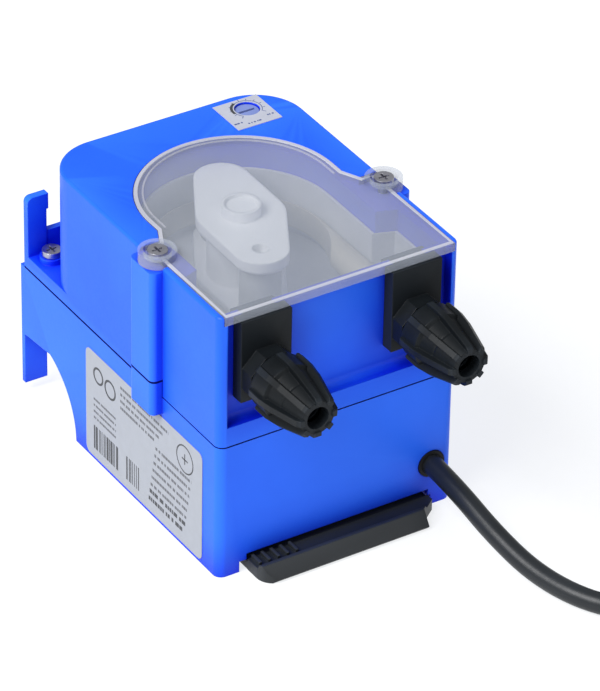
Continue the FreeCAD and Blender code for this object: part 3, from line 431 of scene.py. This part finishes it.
def power_lead():
    """The lead from its hole in the lower wall to the stripped end, as one smooth line."""
    points = [mm(*point) for point in LEAD_ROUTE] + coil_points()
    curve = bpy.data.curves.new("power_lead", "CURVE")
    curve.dimensions = "3D"
    curve.bevel_depth = LEAD_RADIUS * MM
    curve.bevel_resolution = 6
    curve.resolution_u = 6
    curve.use_fill_caps = True
    spline = curve.splines.new("NURBS")
    spline.points.add(len(points) - 1)
    for slot, point in zip(spline.points, points):
        slot.co = (*point, 1)
    spline.order_u = 3
    spline.use_endpoint_u = True
    curve.materials.append(MATERIALS["lead"])
    lead = bpy.data.objects.new("power_lead", curve)
    bpy.context.scene.collection.objects.link(lead)
    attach(lead, "housing")
    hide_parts("power_cord", "cord_coil")


# Clear cover's bright edge: a frosted strip that carries painted highlight

COVER_ARCH = 34.25
COVER_HALF = 42.05
COVER_SHOULDER = -8.5
WAIST_X = 37
WAIST_Y = -2
ARCH_STEPS = 48
RIM_INSET, RIM_HALF = 0.8, 0.7
INNER_INSET, INNER_HALF = 3, 0.35
RIM_UNDER, RIM_OVER = 0.02, 0.32


def cover_edge_path(inset):
    """The cover's outline seen from above, drawn in by an inset, from right to left round the arch."""
    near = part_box("clear_cover")[0].y + inset
    bush_low, bush_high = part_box("output_bush")
    centre_y = (bush_low.y + bush_high.y) / 2
    radius = COVER_ARCH * MM - inset
    side = COVER_HALF * MM - inset
    shoulder = COVER_SHOULDER * MM - inset
    right = [Vector((side, near, 0)), Vector((side, shoulder, 0)), Vector((WAIST_X * MM, shoulder, 0)),
             Vector((radius, WAIST_Y * MM, 0))]
    arch = [Vector((radius * math.cos(angle), centre_y + radius * math.sin(angle), 0))
            for angle in [math.pi * step / ARCH_STEPS for step in range(ARCH_STEPS + 1)]]
    left = [Vector((-point.x, point.y, 0)) for point in reversed(right)]
    return right + arch + left


def cover_rim():
    """The frosted border of the clear cover, made lighter with painted highlight for the light its edge
    gathers, and a fainter painted highlight line inside its arch.
    """
    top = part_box("front_shell")[1].z
    outer = cover_edge_path(RIM_INSET * MM)
    arch = cover_edge_path(INNER_INSET * MM)[3:-3]
    for name, path, half, look in (
            ("cover_rim", outer, RIM_HALF * MM, RIM),
            ("cover_inner_rim", arch, INNER_HALF * MM, FAINT_RIM)):
        under, over = RIM_UNDER * MM, RIM_OVER * MM
        profile = [(-half, under), (half, under), (half * 0.8, over), (-half * 0.8, over)]
        raised = [point + Vector((0, 0, top)) for point in path]
        mesh_object(name, swept_profile(raised, profile, closed=path is outer), look, "housing")


# Parting lines

def corner_arc(x, y, radius, start):
    """A quarter circle round a centre, counter-clockwise from a start angle in degrees."""
    angles = [math.radians(start + 90 * step / 6) for step in range(7)]
    return [mm(x + radius * math.cos(angle), y + radius * math.sin(angle), 0) for angle in angles]


def parting_lines():
    """The dark joints between the two shells: along the walls, and higher up across the two bosses."""
    shell_low, shell_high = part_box("front_shell")
    near, far, reach = shell_low.y / MM, shell_high.y / MM - 0.1, shell_high.x / MM
    wall, boss_near, boss_far = 44, -21.5, -7.5
    corner, boss_corner = 3, 2
    inset = reach - boss_corner
    near_corners = (corner_arc(corner - wall, near + corner, corner, 180)
                    + corner_arc(wall - corner, near + corner, corner, 270))
    left_corners = (corner_arc(-inset, boss_far - boss_corner, boss_corner, 90)
                    + corner_arc(-inset, boss_near + boss_corner, boss_corner, 180))
    right_corners = (corner_arc(inset, boss_near + boss_corner, boss_corner, 270)
                     + corner_arc(inset, boss_far - boss_corner, boss_corner, 0))
    seam = shell_low.z
    boss_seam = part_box("rear_shell")[1].z
    narrow, wide = 0.22, 0.36
    lines = [
        ("parting_left", seam, wide, [mm(-wall, far, 0), mm(-wall, boss_far, 0)]),
        ("parting_near", seam, narrow, [mm(-wall, boss_near, 0), *near_corners, mm(wall, boss_near, 0)]),
        ("parting_right", seam, wide, [mm(wall, boss_far, 0), mm(wall, far, 0)]),
        ("parting_left_boss", boss_seam, wide,
         [mm(-wall, boss_far, 0), *left_corners, mm(-wall, boss_near, 0)]),
        ("parting_right_boss", boss_seam, wide,
         [mm(wall, boss_near, 0), *right_corners, mm(wall, boss_far, 0)])]
    shade = moulded("parting_shade", (0.001, 0.002, 0.05), (0.002, 0.004, 0.08), 0.8, rounding=0,
                    shine=0.05)
    proud, sunk = 0.04 * MM, 0.3 * MM
    for name, level, half_width, path in lines:
        half = half_width * MM
        profile = [(-sunk, -half), (proud, -half), (proud, half), (-sunk, half)]
        raised = [point + Vector((0, 0, level)) for point in path]
        mesh_object(name, swept_profile(raised, profile), shade, "housing")


# Label print

def flat_marks(name, marks, material, place, film):
    """Printed marks as thin closed slabs: corners in label coordinates, laid by place(), film thick."""
    geometry = bmesh.new()
    for corners in marks:
        under = [geometry.verts.new(place(u, v)) for u, v in corners]
        over = [geometry.verts.new(vertex.co + film) for vertex in under]
        geometry.faces.new(under)
        geometry.faces.new(over)
        for index, vertex in enumerate(under):
            onward = (index + 1) % len(under)
            geometry.faces.new((vertex, under[onward], over[onward], over[index]))
    bmesh.ops.recalc_face_normals(geometry, faces=geometry.faces)
    mesh_object(name, geometry, material, "housing")


def bar(u, v, width, height):
    return [(u, v), (u + width, v), (u + width, v + height), (u, v + height)]


def ring_marks(u, v, radius, width, pieces=28, start=0.0, sweep=math.tau):
    """A printed ring or arc, as short quads."""
    marks = []
    for index in range(pieces):
        a = start + sweep * index / pieces
        b = start + sweep * (index + 1) / pieces
        marks.append([
            (u + radius * math.cos(a), v + radius * math.sin(a)),
            (u + radius * math.cos(b), v + radius * math.sin(b)),
            (u + (radius - width) * math.cos(b), v + (radius - width) * math.sin(b)),
            (u + (radius - width) * math.cos(a), v + (radius - width) * math.sin(a))])
    return marks


def text_row(rng, u, v, length, height):
    """A row of small dashes that stands for a line of print."""
    marks = []
    at = u
    while at < u + length:
        width = rng.uniform(0.5, 1.5) * height
        marks.append(bar(at, v, min(width, u + length - at), height))
        at += width + rng.choice((0.25, 0.25, 0.8)) * height
    return marks


def side_label_print():
    """Generic print on the rating label: dashes for text, bars and three plain rings."""
    low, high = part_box("side_label")
    rng = random.Random(7)
    film = mm(-0.03, 0, 0)

    def place(u, v):
        # u runs from the hook end towards the ports, v up from the label's lower edge
        return Vector((low.x, high.y - u * MM, low.z + v * MM))

    dark, faint = [], []
    at = 5.0
    while at < 34:
        width = rng.choice((0.35, 0.5, 0.8, 1.2))
        if not 20.5 < at < 24.5:
            dark.append(bar(at, 3.5, width, 9))
        at += width + rng.choice((0.4, 0.6, 0.9))
    for row in range(4):
        faint += text_row(rng, 22, 36.5 - 2.6 * row, 30 - 3 * row, 1.0)
    for row in range(4):
        faint += text_row(rng, 5, 22.5 - 2.4 * row, 14, 0.8)
    for row in range(8):
        tall = 1.5 if row > 5 else 1.05
        (dark if row > 5 else faint).extend(text_row(rng, 44 - 0.6 * row, 26 - 3.1 * row, 22, tall))
    dark += ring_marks(62, 33, 5.2, 0.5)
    dark += [bar(60.2, 32.6, 3.6, 0.5), bar(61.7, 31, 0.5, 4)]
    dark += ring_marks(8, 33, 3.2, 0.8)
    dark += ring_marks(15.5, 32, 3.6, 0.8)
    flat_marks("label_print", dark, INK, place, film)
    flat_marks("label_small_print", faint, FAINT_INK, place, film)


def dial_sticker_print():
    """A scale with ticks and a thick end round the flow dial, and three short rows of dashes."""
    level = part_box("dial_label")[1].z
    knob_low, knob_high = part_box("adjuster_knob")
    x, y = (knob_low.x + knob_high.x) / 2, (knob_low.y + knob_high.y) / 2

    def place(u, v):
        return Vector((x + u * MM, y + v * MM, level))

    marks = ring_marks(0, 0, 5.1, 0.25, 40, math.radians(-45), math.radians(270))
    for step in range(11):
        angle = math.radians(225 - 27 * step)
        inner, outer = 5.2, 6.0 if step % 5 else 6.4
        across = Vector((-math.sin(angle), math.cos(angle))) * 0.12
        along = Vector((math.cos(angle), math.sin(angle)))
        marks.append([tuple(along * inner + across), tuple(along * outer + across),
                      tuple(along * outer - across), tuple(along * inner - across)])
    rng = random.Random(3)
    marks += text_row(rng, -4.5, -8.6, 5, 0.7)
    marks += text_row(rng, 3.6, -7.0, 3, 0.7)
    marks += text_row(rng, -8.8, -7.0, 3, 0.7)
    flat_marks("dial_print", marks, BLUE_INK, place, mm(0, 0, 0.03))
    crescent = ring_marks(0, 0, 5.6, 0.9, 12, math.radians(115), math.radians(75))
    flat_marks("dial_crescent", crescent, INK, place, mm(0, 0, 0.04))


# Floor and light

def studio():
    """A pale floor that gives back most of the light, under a soft key from the left."""
    geometry = bmesh.new()
    bmesh.ops.create_grid(geometry, x_segments=24, y_segments=24, size=6)
    mesh = bpy.data.meshes.new("floor")
    geometry.to_mesh(mesh)
    geometry.free()
    paper = printed("floor_paper", (0.26, 0.26, 0.26), 0.8)
    shader_of(paper).inputs["Emission Color"].default_value = (0.97, 0.985, 1.0, 1)
    shader_of(paper).inputs["Emission Strength"].default_value = 0.78
    mesh.materials.append(paper)
    floor = bpy.data.objects.new("floor", mesh)
    bpy.context.scene.collection.objects.link(floor)
    floor.location.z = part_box("rear_shell")[0].z - 0.0001
    world = bpy.data.worlds.new("studio")
    world.use_nodes = True
    background = world.node_tree.nodes["Background"]
    background.inputs["Color"].default_value = (0.97, 0.98, 1.0, 1)
    background.inputs["Strength"].default_value = 0.45
    bpy.context.scene.world = world
    add_light("key", (-1.35, -0.2, 1.6), 60, 1.2)
    add_light("near_fill", (0.5, -1.9, 0.9), 7, 1.2)


def add_light(name, spot, power, size):
    data = bpy.data.lights.new(name, "AREA")
    data.energy = power
    data.shape = "SQUARE"
    data.size = size
    light = bpy.data.objects.new(name, data)
    bpy.context.scene.collection.objects.link(light)
    light.location = spot
    aim = Vector((0, 0, 0.05)) - Vector(spot)
    light.rotation_euler = aim.to_track_quat("-Z", "Y").to_euler()


power_lead()
paint_nodes()
cover_rim()
parting_lines()
side_label_print()
dial_sticker_print()
studio()
bpy.context.scene.view_settings.view_transform = "Standard"
